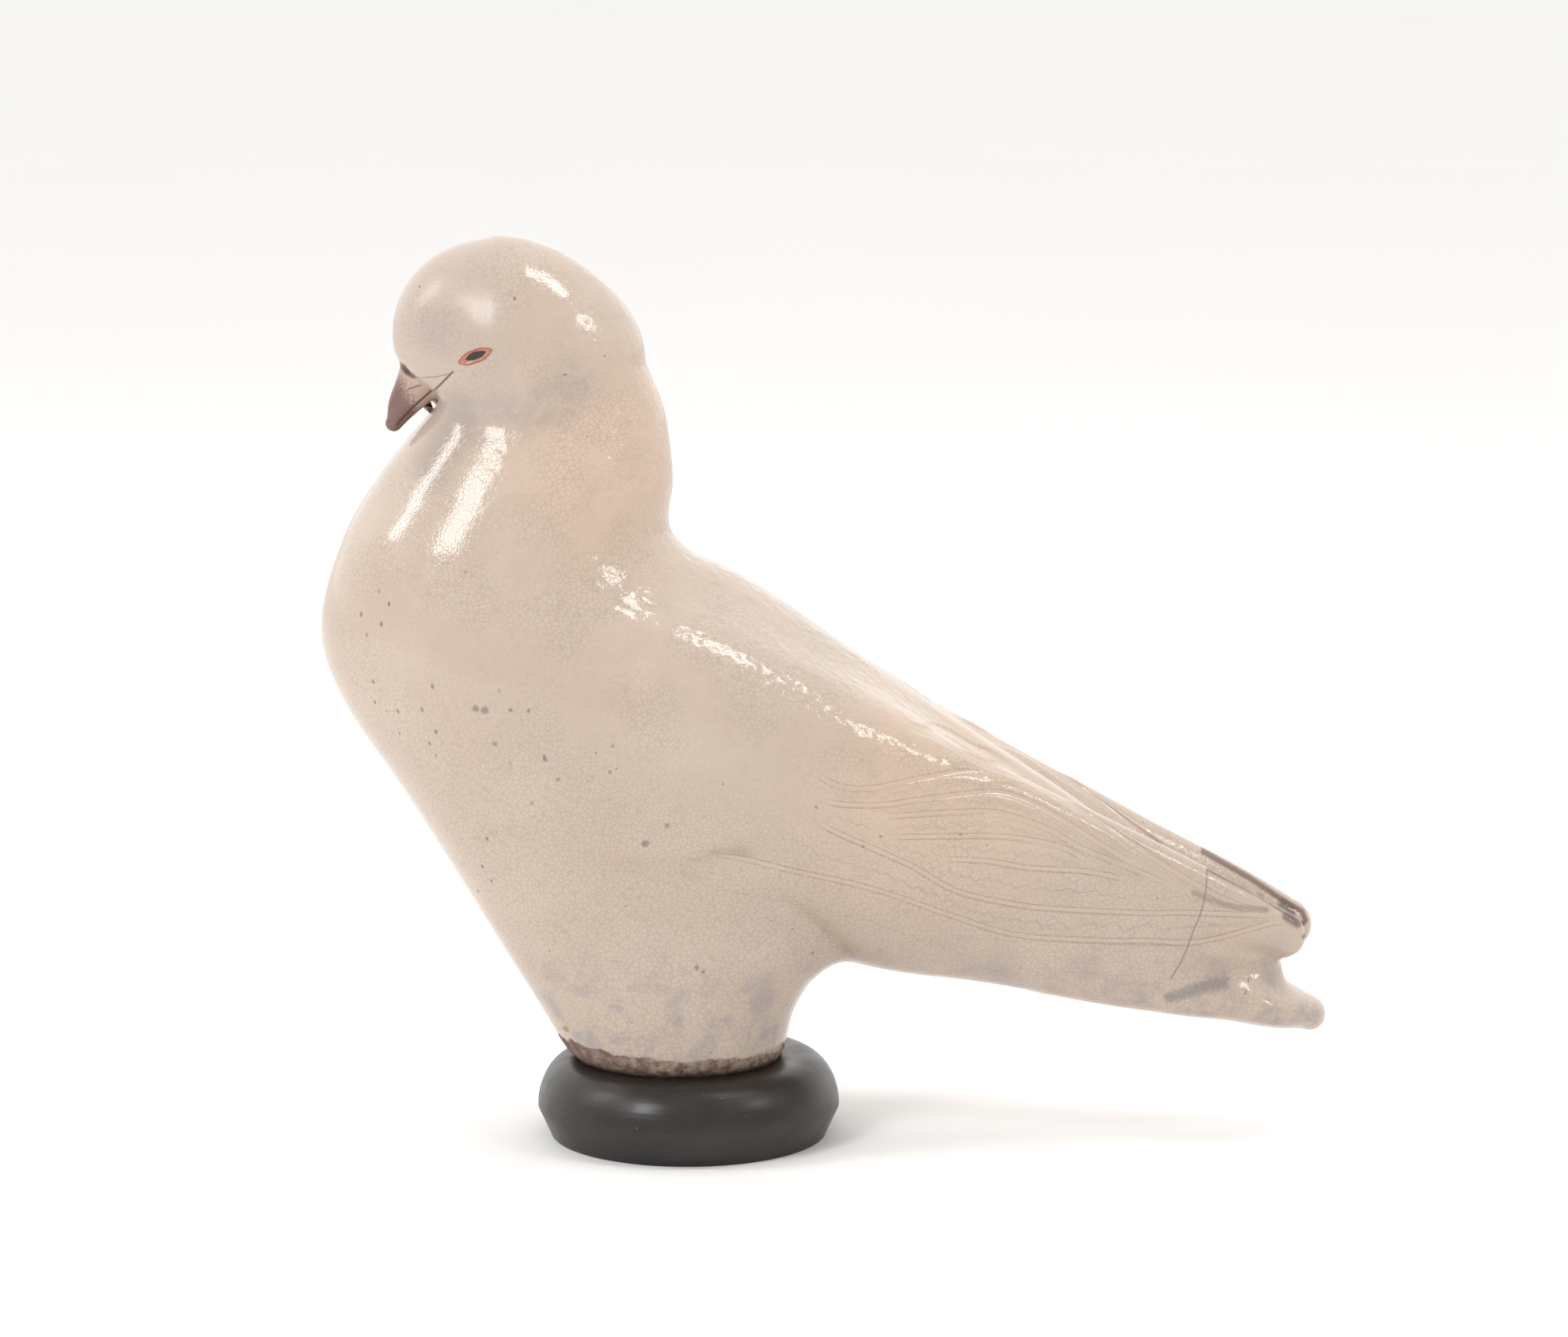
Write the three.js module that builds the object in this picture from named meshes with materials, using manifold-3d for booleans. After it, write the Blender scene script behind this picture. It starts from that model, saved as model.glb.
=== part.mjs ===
// Dove sculpture: a glazed stoneware dove, cast in one piece, on a turned wood plinth painted black.
// Millimetres, +Z up. The dove faces -X and its tail points to +X. The plinth's underside is centred on
// the origin. The bird is one smooth form: lofts for trunk, body, wings, tail, head and beak run into
// each other, the feather edges are pressed into it, and a net of facets is laid over the result.

import * as THREE from 'three';
import { mergeVertices } from 'three/addons/utils/BufferGeometryUtils.js';
import Module from 'manifold-3d';

// Plinth sizes
const PLINTH_HEIGHT = 27;
const PLINTH_RADIUS = 50.9;
const PLINTH_BASE_RADIUS = 46.6;
const PLINTH_TOP_RADIUS = 38.5;
const PLINTH_WAIST_HEIGHT = 10;
const PLINTH_EDGE_ROUND = 0.7;
const PLINTH_SIDES = 56;
const SHOULDER_STEPS = 7;

// The dove stands a little off the middle of the plinth. It is modelled with a stump below its foot,
// which is cut off level with the plinth's top.
const DOVE_OFFSET_X = 1;
const FOOT_STUMP_HEIGHT = 19;

// Trunk from the foot up through the breast to the neck, as level ellipses.
// Each row is height, front x, rear x, half width.
const TRUNK_LEVELS = [
  [20, -35, 28, 31],
  [27, -39, 30, 33.5],
  [31, -42.8, 31.8, 36],
  [42, -49.5, 34.5, 37.5],
  [52, -55.5, 40, 38.5],
  [64, -63, 50, 40],
  [85, -75.5, 50, 43],
  [117, -95, 40, 47.5],
  [150, -116.3, 30, 52],
  [175, -123, 10, 51],
  [204, -115, -6, 45],
  [223, -104, -5.5, 38.5],
  [239, -91.5, -7, 32],
  [249, -82, -9.2, 28],
  [262, -66, -14.5, 24.5],
];

// The other lofts. Each row is one section: centre x, y, z, then its half height and half width.
const BODY_ROWS = [
  [-50, 0, 160, 52, 46],
  [-10, 0, 137.5, 59.5, 50],
  [40, 0, 115, 50, 45],
  [80, 0, 96.5, 43, 35],
  [113, 0, 84, 35, 27],
  [152, 0, 67.5, 25, 18],
  [185, 0, 56, 14, 12],
];
const WING_ROWS = [
  [-50, 25, 152, 38, 25],
  [-12, 28.5, 144, 41, 27],
  [25, 29.5, 131, 38, 26],
  [62, 26, 117, 33, 22],
  [103, 19, 102, 27, 15.5],
  [144, 13.5, 88, 20, 10.5],
  [176, 10.5, 77.8, 13.2, 7.5],
  [197.5, 8.5, 70, 8.6, 5],
];
const TAIL_ROWS = [
  [125, 0, 66, 17, 10],
  [165, 0, 53.5, 13, 16],
  [185, 0, 48.5, 10, 20],
  [198, 0, 44.2, 7.8, 18],
  [208.3, 0, 41.2, 5.6, 10],
];
const HEAD_REAR_ROWS = [
  [-51.5, 0, 268, 29.5, 29],
  [-53, 0, 268.5, 30, 29],
];
const HEAD_FRONT_ROWS = [
  [-64.5, 0, 271.5, 32, 24],
  [-67, 0, 271.5, 31, 23.5],
];
const CHEEK_ROWS = [
  [-52, 0, 258, 21, 28],
  [-62, 0, 259, 18, 26],
];
const BEAK_ROWS = [
  [-83, 0, 262, 10.5, 9.5],
  [-88, 0, 257.2, 8.6, 7.2],
  [-91.7, 0, 252.4, 6.6, 5.2],
  [-95.7, 0, 246.7, 4.7, 3.4],
  [-98, 0, 241.8, 2.8, 2.1],
];

// Directions that the sections are stacked along, as x and z
const UPWARD = [0, 1];
const FORWARD = [-1, 0];
const ALONG_BACK = [0.911, -0.411];
const ALONG_BEAK = [-0.604, -0.797];

// The folded wings lean together over the back, and the far one reaches further
const WING_LEAN = THREE.MathUtils.degToRad(18);
const FAR_WING_REACH = 3.5;
const FAR_WING_START = 150;
const FAR_WING_END = 200;

// The face is cut off by a slanting plane behind the beak
const FACE_CUT_TOP = [-97, 261.5];
const FACE_CUT_CHIN = [-76, 248];
const FACE_CUT_ROUND = 5;

// How softly neighbouring forms run into each other
const BODY_ROUND = 8;
const SHOULDER_ROUND = 16;
const WING_GROOVE_ROUND = 4;
const SHOULDER_END = 60;
const WING_GROOVE_START = 130;
const TAIL_ROUND = 5;
const HEAD_ROUND = 12;
const CHEEK_ROUND = 8;
const NECK_ROUND = 9;
const BEAK_ROUND = 2;

// Feather edges on each folded wing, seen from the side, as x and z
const FEATHER_EDGES = [
  [[42, 136], [54, 129], [72, 131], [99, 129]],
  [[44, 126], [62, 123], [93, 125], [117, 118], [148, 97]],
  [[64, 119], [96, 119], [128, 105], [160, 90]],
  [[66, 112], [96, 111], [118, 106], [136, 96]],
  [[83, 103], [110, 99], [147, 92]],
  [[41, 121], [60, 108], [86, 92], [118, 83], [165, 80], [196, 78]],
  [[4, 107], [34, 100], [86, 82], [134, 71], [171, 69], [201, 75]],
  [[70, 148], [96, 134], [139, 110], [181, 83], [197, 78]],
];
const WING_EDGE = [[-73, 127], [-49, 111], [-18, 105], [13, 110], [41, 121]];
const FEATHER_DEPTH = 0.9;
const FEATHER_SPREAD = 2.2;
const EDGE_FADE = 9;
const EDGE_SAMPLES = 24;
const RELIEF_REACH = 8;
const RELIEF_MIN_Y = 6;

// Mouth line, from the corner of the mouth to the tip of the beak, as x and z
const MOUTH_LINE = [[-77, 258.5], [-84, 254], [-92, 246.5], [-97.5, 240.5]];
const MOUTH_DEPTH = 0.7;
const MOUTH_SPREAD = 0.8;

// Facet sizes
const COARSE_FACET = 10.5;
const HEAD_FACET = 6.2;
const BEAK_FACET = 2.3;
const WING_FACET = 5;
const TIP_FACET = 5.5;
const FOOT_FACET = 6;
const COARSE_CELL = 12;
const BEAK_CELL = 3;
const LONG_EDGE = 1.38;
const SPLIT_PASSES = 4;

// Sections of one loft, resampled so that any place along it can be looked up directly
function makeLoft(rows, direction, lean = 0) {
  const stepsPerRow = 10;
  const points = [];
  for (let i = 0; i + 1 < rows.length; i += 1) {
    const before = rows[i - 1] ?? rows[i].map((value, k) => 2 * value - rows[i + 1][k]);
    const after = rows[i + 2] ?? rows[i + 1].map((value, k) => 2 * value - rows[i][k]);
    for (let step = 0; step < stepsPerRow; step += 1) {
      const t = step / stepsPerRow;
      points.push(rows[i].map((value, k) => catmullRom(before[k], value, rows[i + 1][k], after[k], t)));
    }
  }
  points.push(rows[rows.length - 1]);
  const length = Math.hypot(direction[0], direction[1]);
  const axis = [direction[0] / length, direction[1] / length];
  const places = points.map((row) => row[0] * axis[0] + row[2] * axis[1]);
  return { points, places, axis, cosLean: Math.cos(lean), sinLean: Math.sin(lean) };
}

function catmullRom(a, b, c, d, t) {
  const linear = (c - a) * t;
  const square = (2 * a - 5 * b + 4 * c - d) * t * t;
  const cube = (3 * b - a - 3 * c + d) * t * t * t;
  return (2 * b + linear + square + cube) / 2;
}

// Section of a loft at one place along its axis
function sectionAt(loft, place) {
  const { points, places } = loft;
  let low = 0;
  let high = places.length - 1;
  while (high - low > 1) {
    const middle = (low + high) >> 1;
    if (places[middle] <= place) low = middle;
    else high = middle;
  }
  const t = (place - places[low]) / (places[high] - places[low]);
  return points[low].map((value, k) => value + t * (points[high][k] - value));
}

// Distance from a point to a loft's skin, negative inside. Both ends are rounded off.
function loftDistance(loft, x, y, z) {
  const { axis, places } = loft;
  const place = x * axis[0] + z * axis[1];
  const nearest = THREE.MathUtils.clamp(place, places[0], places[places.length - 1]);
  const [cx, cy, cz, halfHeight, halfWidth] = sectionAt(loft, nearest);
  const along = place - nearest;
  const up = (z - cz) * axis[0] - (x - cx) * axis[1];
  const side = y - cy;
  const across = up * loft.cosLean + side * loft.sinLean;
  const sideways = side * loft.cosLean - up * loft.sinLean;
  const inPlane = along * along + across * across;
  const scaled = Math.sqrt(inPlane / halfHeight ** 2 + sideways ** 2 / halfWidth ** 2);
  const slope = Math.sqrt(inPlane / halfHeight ** 4 + sideways ** 2 / halfWidth ** 4);
  return scaled * (scaled - 1) / Math.max(slope, 1e-9);
}

// Union of two forms with a fillet, and the matching rounded cut
function join(a, b, round) {
  const overlap = Math.max(round - Math.abs(a - b), 0) / round;
  return Math.min(a, b) - overlap * overlap * round / 4;
}

function trim(a, b, round) {
  return -join(-a, -b, round);
}

const trunkRows = TRUNK_LEVELS.map(([height, front, rear, halfWidth]) => {
  return [(front + rear) / 2, 0, height, (rear - front) / 2, halfWidth];
});
const lofts = {
  trunk: makeLoft(trunkRows, UPWARD),
  body: makeLoft(BODY_ROWS, ALONG_BACK),
  wing: makeLoft(WING_ROWS, ALONG_BACK, WING_LEAN),
  tail: makeLoft(TAIL_ROWS, ALONG_BACK),
  headRear: makeLoft(HEAD_REAR_ROWS, FORWARD),
  headFront: makeLoft(HEAD_FRONT_ROWS, FORWARD),
  cheek: makeLoft(CHEEK_ROWS, FORWARD),
  beak: makeLoft(BEAK_ROWS, ALONG_BEAK),
};

// Distance in front of the plane that cuts the face off behind the beak
function faceCutDistance(x, z) {
  const run = FACE_CUT_CHIN[0] - FACE_CUT_TOP[0];
  const drop = FACE_CUT_CHIN[1] - FACE_CUT_TOP[1];
  return ((x - FACE_CUT_TOP[0]) * drop - (z - FACE_CUT_TOP[1]) * run) / Math.hypot(run, drop);
}

function headDistance(x, y, z) {
  const skull = join(loftDistance(lofts.headRear, x, y, z), loftDistance(lofts.headFront, x, y, z), HEAD_ROUND);
  const face = join(skull, loftDistance(lofts.cheek, x, y, z), CHEEK_ROUND);
  return trim(face, faceCutDistance(x, z), FACE_CUT_ROUND);
}

function wingDistance(x, y, z) {
  const reach = y > 0 ? FAR_WING_REACH * THREE.MathUtils.smoothstep(x, FAR_WING_START, FAR_WING_END) : 0;
  return loftDistance(lofts.wing, x - reach, Math.abs(y), z);
}

// The bird without its carving
function smoothDove(x, y, z) {
  const groove = THREE.MathUtils.smoothstep(x, SHOULDER_END, WING_GROOVE_START);
  const wingRound = THREE.MathUtils.lerp(SHOULDER_ROUND, WING_GROOVE_ROUND, groove);
  const winged = join(loftDistance(lofts.body, x, y, z), wingDistance(x, y, z), wingRound);
  let dove = join(loftDistance(lofts.trunk, x, y, z), winged, BODY_ROUND);
  dove = join(dove, loftDistance(lofts.tail, x, y, z), TAIL_ROUND);
  dove = join(dove, headDistance(x, y, z), NECK_ROUND);
  return join(dove, loftDistance(lofts.beak, x, y, z), BEAK_ROUND);
}

// A carved line, seen from the side, as short straight pieces with the length run so far
function makeLine(controls) {
  const curve = new THREE.SplineCurve(controls.map(([x, z]) => new THREE.Vector2(x, z)));
  const points = curve.getPoints(EDGE_SAMPLES);
  const runs = [0];
  for (let i = 1; i < points.length; i += 1) runs.push(runs[i - 1] + points[i].distanceTo(points[i - 1]));
  return { points, runs };
}

const featherLines = [...FEATHER_EDGES, WING_EDGE].map(makeLine);
const mouthLine = makeLine(MOUTH_LINE);

// Nearest distance to a carved line and how far in from its nearer end that is
function nearestOnLine(line, x, z) {
  let best = { distance: Infinity, fromEnd: 0 };
  for (let i = 1; i < line.points.length; i += 1) {
    const a = line.points[i - 1];
    const b = line.points[i];
    const dx = b.x - a.x;
    const dz = b.y - a.y;
    const t = THREE.MathUtils.clamp(((x - a.x) * dx + (z - a.y) * dz) / (dx * dx + dz * dz), 0, 1);
    const distance = Math.hypot(x - a.x - t * dx, z - a.y - t * dz);
    if (distance < best.distance) {
      const run = line.runs[i - 1] + t * (line.runs[i] - line.runs[i - 1]);
      best = { distance, fromEnd: Math.min(run, line.runs[line.runs.length - 1] - run) };
    }
  }
  return best;
}

function grooveDepth(distance, depth, spread) {
  return depth * Math.exp(-distance * distance / (2 * spread * spread));
}

// How deep the carving goes at one point
function carving(x, y, z) {
  let depth = 0;
  if (Math.abs(y) > RELIEF_MIN_Y) {
    for (const line of featherLines) {
      const { distance, fromEnd } = nearestOnLine(line, x, z);
      if (distance < RELIEF_REACH) {
        const fade = THREE.MathUtils.smoothstep(fromEnd, 0, EDGE_FADE);
        depth = Math.max(depth, fade * grooveDepth(distance, FEATHER_DEPTH, FEATHER_SPREAD));
      }
    }
  }
  const mouth = nearestOnLine(mouthLine, x, z).distance;
  return Math.max(depth, grooveDepth(mouth, MOUTH_DEPTH, MOUTH_SPREAD));
}

function doveDistance(point) {
  const { x, y, z } = point;
  return Math.max(smoothDove(x, y, z) + carving(x, y, z), FOOT_STUMP_HEIGHT - z);
}

// Wanted facet size at a point: small on the beak, the head and the carved wing
function facetSize({ x, y, z }) {
  if (x < -79 && z > 236 && z < 264 && Math.abs(y) < 14) return BEAK_FACET;
  if (z > 238) return HEAD_FACET;
  if (x > 180) return TIP_FACET;
  if (z < 36) return FOOT_FACET;
  const behindCoverts = x > 40 && Math.abs(y) > RELIEF_MIN_Y;
  if (behindCoverts && featherLines.some((line) => nearestOnLine(line, x, z).distance < 4)) return WING_FACET;
  return COARSE_FACET;
}

// Positions of the grid planes along one axis, closer together between two limits
function gridPlanes(from, to, fineFrom, fineTo) {
  const planes = [from];
  while (planes[planes.length - 1] < to) {
    const last = planes[planes.length - 1];
    const fine = last >= fineFrom - BEAK_CELL && last < fineTo;
    planes.push(last + (fine ? BEAK_CELL : COARSE_CELL));
  }
  return planes;
}

// Closed net of four-sided patches over the zero surface, one corner in each grid cell that it crosses
function surfaceNet() {
  const halfPlanes = gridPlanes(BEAK_CELL / 2, 80, 0, 6);
  const sidePlanes = [...halfPlanes.map((y) => -y).reverse(), ...halfPlanes];
  const planes = [gridPlanes(-155, 235, -102, -78), sidePlanes, gridPlanes(-0.5, 325, 237, 263)];
  const [nx, ny, nz] = planes.map((list) => list.length);
  const indexOf = (i, j, k) => (i * ny + j) * nz + k;
  const inside = new Uint8Array(nx * ny * nz);
  for (let i = 0; i < nx; i += 1) {
    for (let j = 0; j < ny; j += 1) {
      for (let k = 0; k < nz; k += 1) {
        const corner = { x: planes[0][i], y: planes[1][j], z: planes[2][k] };
        inside[indexOf(i, j, k)] = doveDistance(corner) < 0 ? 1 : 0;
      }
    }
  }
  const vertices = [];
  const cellVertex = new Map();
  const vertexIn = (i, j, k) => {
    const key = indexOf(i, j, k);
    if (!cellVertex.has(key)) {
      const middle = [i, j, k].map((n, axis) => (planes[axis][n] + planes[axis][n + 1]) / 2);
      cellVertex.set(key, vertices.push(new THREE.Vector3(...middle)) - 1);
    }
    return cellVertex.get(key);
  };
  const triangles = [];
  const steps = [[1, 0, 0], [0, 1, 0], [0, 0, 1]];
  for (let i = 1; i + 1 < nx; i += 1) {
    for (let j = 1; j + 1 < ny; j += 1) {
      for (let k = 1; k + 1 < nz; k += 1) {
        steps.forEach((step, axis) => {
          const here = inside[indexOf(i, j, k)];
          const next = inside[indexOf(i + step[0], j + step[1], k + step[2])];
          if (here === next) return;
          const u = steps[(axis + 1) % 3];
          const v = steps[(axis + 2) % 3];
          const around = [[0, 0], [1, 0], [1, 1], [0, 1]].map(([p, q]) => {
            return vertexIn(i - p * u[0] - q * v[0], j - p * u[1] - q * v[1], k - p * u[2] - q * v[2]);
          });
          const [a, b, c, d] = here ? around : around.reverse();
          triangles.push([a, b, c], [a, c, d]);
        });
      }
    }
  }
  return { vertices, triangles };
}

// Direction in which the distance to the skin grows, as long as its growth per millimetre
function slopeAt(point, distance) {
  const reach = 0.2;
  const slope = new THREE.Vector3(
    doveDistance({ x: point.x + reach, y: point.y, z: point.z }) - distance,
    doveDistance({ x: point.x, y: point.y + reach, z: point.z }) - distance,
    doveDistance({ x: point.x, y: point.y, z: point.z + reach }) - distance,
  );
  return slope.divideScalar(reach);
}

// Move a point along the slope of the distance until it lies on the skin
function settle(point, times) {
  const longestMove = 4;
  for (let pass = 0; pass < times; pass += 1) {
    const distance = doveDistance(point);
    const slope = slopeAt(point, distance);
    const move = slope.multiplyScalar(-distance / Math.max(slope.lengthSq(), 0.05));
    point.add(move.clampLength(0, longestMove));
  }
}

// Move a point straight along a direction until it lies on the skin
function pushToSkin(point, direction) {
  const steps = 6;
  for (let step = 0; step < steps; step += 1) point.addScaledVector(direction, -doveDistance(point));
}

// Outward direction at each corner of the net, from the triangles around it
function cornerDirections({ vertices, triangles }) {
  const directions = vertices.map(() => new THREE.Vector3());
  for (const [a, b, c] of triangles) {
    const edge = vertices[b].clone().sub(vertices[a]);
    const facing = edge.cross(vertices[c].clone().sub(vertices[a]));
    for (const corner of [a, b, c]) directions[corner].add(facing);
  }
  return directions.map((direction) => direction.normalize());
}

// Even the net out: each corner slides over the skin toward the middle of its neighbours
function smoothNet(net, passes, amount) {
  for (let pass = 0; pass < passes; pass += 1) {
    const sums = net.vertices.map(() => new THREE.Vector3());
    const counts = new Float32Array(net.vertices.length);
    for (const [a, b, c] of net.triangles) {
      for (const [from, to] of [[a, b], [b, c], [c, a]]) {
        sums[from].add(net.vertices[to]);
        counts[from] += 1;
      }
    }
    net.vertices.forEach((vertex, index) => {
      const outward = slopeAt(vertex, doveDistance(vertex)).normalize();
      const slide = sums[index].divideScalar(counts[index]).sub(vertex).multiplyScalar(amount);
      vertex.add(slide.projectOnPlane(outward));
      settle(vertex, 1);
    });
  }
}

// Split every edge that is too long for its place, and the triangles beside it to match
function splitLongEdges(net) {
  const { vertices } = net;
  const directions = cornerDirections(net);
  const middles = new Map();
  const edgeKey = (a, b) => Math.min(a, b) * 1e6 + Math.max(a, b);
  const middleOf = (a, b) => middles.get(edgeKey(a, b));
  for (const [a, b, c] of net.triangles) {
    for (const [from, to] of [[a, b], [b, c], [c, a]]) {
      const key = edgeKey(from, to);
      if (from > to || middles.has(key)) continue;
      const middle = vertices[from].clone().lerp(vertices[to], 0.5);
      if (vertices[from].distanceTo(vertices[to]) > LONG_EDGE * facetSize(middle)) {
        pushToSkin(middle, directions[from].clone().add(directions[to]).normalize());
        middles.set(key, vertices.push(middle) - 1);
      }
    }
  }
  const triangles = [];
  for (const triangle of net.triangles) triangles.push(...splitTriangle(triangle, middleOf, vertices));
  return { vertices, triangles };
}

function splitTriangle([a, b, c], middleOf, vertices) {
  const ab = middleOf(a, b);
  const bc = middleOf(b, c);
  const ca = middleOf(c, a);
  const splits = [ab, bc, ca].filter((middle) => middle !== undefined).length;
  if (splits === 0) return [[a, b, c]];
  if (splits === 3) return [[a, ab, ca], [ab, b, bc], [ca, bc, c], [ab, bc, ca]];
  // Turn the corners so that the first edge is split, and the last isn't
  if (ab === undefined || (splits === 2 && ca !== undefined)) return splitTriangle([b, c, a], middleOf, vertices);
  if (splits === 1) return [[a, ab, c], [ab, b, c]];
  const shortDiagonal = vertices[a].distanceTo(vertices[bc]) < vertices[ab].distanceTo(vertices[c]);
  const rest = shortDiagonal ? [[a, ab, bc], [a, bc, c]] : [[a, ab, c], [ab, bc, c]];
  return [[ab, b, bc], ...rest];
}

function doveNet() {
  let net = surfaceNet();
  net.vertices.forEach((vertex) => settle(vertex, 3));
  smoothNet(net, 3, 0.5);
  for (let pass = 0; pass < SPLIT_PASSES; pass += 1) {
    net = splitLongEdges(net);
    smoothNet(net, 2, 0.4);
  }
  smoothNet(net, 2, 0.3);
  net.vertices.forEach((vertex) => settle(vertex, 4));
  return net;
}

// Corners just above or below the foot's flat are laid exactly on it, so that the cut leaves no slivers
function layOnFootPlane(vertices) {
  const nearPlane = 1.2;
  for (const vertex of vertices) {
    if (Math.abs(vertex.z - PLINTH_HEIGHT) < nearPlane) vertex.z = PLINTH_HEIGHT;
  }
}

function geometryOf(vertices, triangles) {
  const geometry = new THREE.BufferGeometry();
  const positions = new Float32Array(vertices.flatMap((vertex) => [vertex.x, vertex.y, vertex.z]));
  geometry.setAttribute('position', new THREE.BufferAttribute(positions, 3));
  geometry.setIndex(triangles.flat());
  return geometry;
}

// A closed geometry as a solid that can be cut
function solidOf(wasm, geometry) {
  const bare = geometry.clone();
  bare.deleteAttribute('normal');
  bare.deleteAttribute('uv');
  const merged = mergeVertices(bare);
  const vertProperties = new Float32Array(merged.attributes.position.array);
  const triVerts = new Uint32Array(merged.index.array);
  return new wasm.Manifold(new wasm.Mesh({ numProp: 3, vertProperties, triVerts }));
}

function geometryOfSolid(solid) {
  const mesh = solid.getMesh();
  const geometry = new THREE.BufferGeometry();
  geometry.setAttribute('position', new THREE.BufferAttribute(new Float32Array(mesh.vertProperties), 3));
  geometry.setIndex(new THREE.BufferAttribute(new Uint32Array(mesh.triVerts), 1));
  geometry.computeVertexNormals();
  return geometry;
}

// The dove, cut flat where it stands
async function makeDove() {
  const wasm = await Module();
  wasm.setup();
  const net = doveNet();
  layOnFootPlane(net.vertices);
  const belowFoot = new THREE.BoxGeometry(200, 200, 40);
  belowFoot.translate(0, 0, PLINTH_HEIGHT - 20);
  const whole = solidOf(wasm, geometryOf(net.vertices, net.triangles));
  const geometry = geometryOfSolid(whole.subtract(solidOf(wasm, belowFoot)));
  const glaze = new THREE.MeshStandardMaterial({ color: 0xdcc8b7, roughness: 0.15, metalness: 0 });
  const dove = new THREE.Mesh(geometry, glaze);
  dove.name = 'dove';
  dove.position.x = DOVE_OFFSET_X;
  return dove;
}

// Outline of the plinth from the middle of its underside to the middle of its top
function plinthProfile() {
  const shoulderWidth = PLINTH_RADIUS - PLINTH_TOP_RADIUS;
  const shoulderHeight = PLINTH_HEIGHT - PLINTH_WAIST_HEIGHT;
  const profile = [
    new THREE.Vector2(0, 0),
    new THREE.Vector2(PLINTH_BASE_RADIUS - PLINTH_EDGE_ROUND, 0),
    new THREE.Vector2(PLINTH_BASE_RADIUS, PLINTH_EDGE_ROUND),
  ];
  for (let step = 0; step <= SHOULDER_STEPS; step += 1) {
    const angle = (Math.PI / 2) * (step / SHOULDER_STEPS);
    const radius = PLINTH_TOP_RADIUS + shoulderWidth * Math.cos(angle);
    profile.push(new THREE.Vector2(radius, PLINTH_WAIST_HEIGHT + shoulderHeight * Math.sin(angle)));
  }
  profile.push(new THREE.Vector2(0, PLINTH_HEIGHT));
  return profile;
}

function makePlinth() {
  const geometry = new THREE.LatheGeometry(plinthProfile(), PLINTH_SIDES);
  geometry.rotateX(Math.PI / 2);
  const paint = new THREE.MeshStandardMaterial({ color: 0x2b2825, roughness: 0.5, metalness: 0 });
  const plinth = new THREE.Mesh(geometry, paint);
  plinth.name = 'plinth';
  return plinth;
}

const sculpture = new THREE.Group();
sculpture.add(makePlinth());
sculpture.add(await makeDove());

export default sculpture;
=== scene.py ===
"""Dove sculpture: a glazed stoneware dove on a turned plinth, dressed for the camera.

The dove's form is the same set of lofts as its solid, laid out in millimetres and meshed more finely. The
feather grooves, the mouth, the nostrils and the hollow in front of each eye are pressed into that mesh. Glaze,
crackle, spots and the painted eye are shader nodes that work from places on the bird.
"""

import math

import bpy
import numpy as np
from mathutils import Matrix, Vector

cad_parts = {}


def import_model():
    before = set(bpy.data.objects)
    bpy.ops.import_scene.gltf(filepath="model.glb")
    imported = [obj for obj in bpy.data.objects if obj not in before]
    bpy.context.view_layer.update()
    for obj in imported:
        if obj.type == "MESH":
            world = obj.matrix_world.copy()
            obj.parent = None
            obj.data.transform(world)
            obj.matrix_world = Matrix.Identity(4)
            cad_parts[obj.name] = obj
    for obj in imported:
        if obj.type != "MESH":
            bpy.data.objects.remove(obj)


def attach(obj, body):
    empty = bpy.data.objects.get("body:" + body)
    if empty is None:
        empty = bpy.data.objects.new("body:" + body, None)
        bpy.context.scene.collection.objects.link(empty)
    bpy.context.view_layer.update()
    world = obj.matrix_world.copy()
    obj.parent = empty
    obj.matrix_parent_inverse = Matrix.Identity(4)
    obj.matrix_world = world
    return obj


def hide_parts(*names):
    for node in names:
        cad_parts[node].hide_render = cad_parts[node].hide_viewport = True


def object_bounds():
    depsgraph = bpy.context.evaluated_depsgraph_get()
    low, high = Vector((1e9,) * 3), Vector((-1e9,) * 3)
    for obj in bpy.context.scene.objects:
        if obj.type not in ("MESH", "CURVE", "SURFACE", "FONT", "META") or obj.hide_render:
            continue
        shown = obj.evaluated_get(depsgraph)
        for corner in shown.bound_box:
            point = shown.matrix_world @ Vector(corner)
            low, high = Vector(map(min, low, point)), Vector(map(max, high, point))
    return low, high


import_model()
cad_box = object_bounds()

MM = 0.001
DOVE_OFFSET_X = 1.0
FOOT_PLANE = 27.0

# Trunk as level ellipses: height, front x, rear x, half width
TRUNK_LEVELS = [
    (20, -35, 28, 31), (27, -39, 30, 33.5), (31, -42.8, 31.8, 36), (42, -49.5, 34.5, 37.5),
    (52, -55.5, 40, 38.5), (64, -63, 50, 40), (85, -75.5, 50, 43), (117, -95, 40, 47.5),
    (150, -116.3, 30, 52), (175, -123, 10, 51), (204, -115, -6, 45), (223, -104, -5.5, 38.5),
    (239, -91.5, -7, 32), (249, -82, -9.2, 28), (262, -66, -14.5, 24.5),
]
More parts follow.
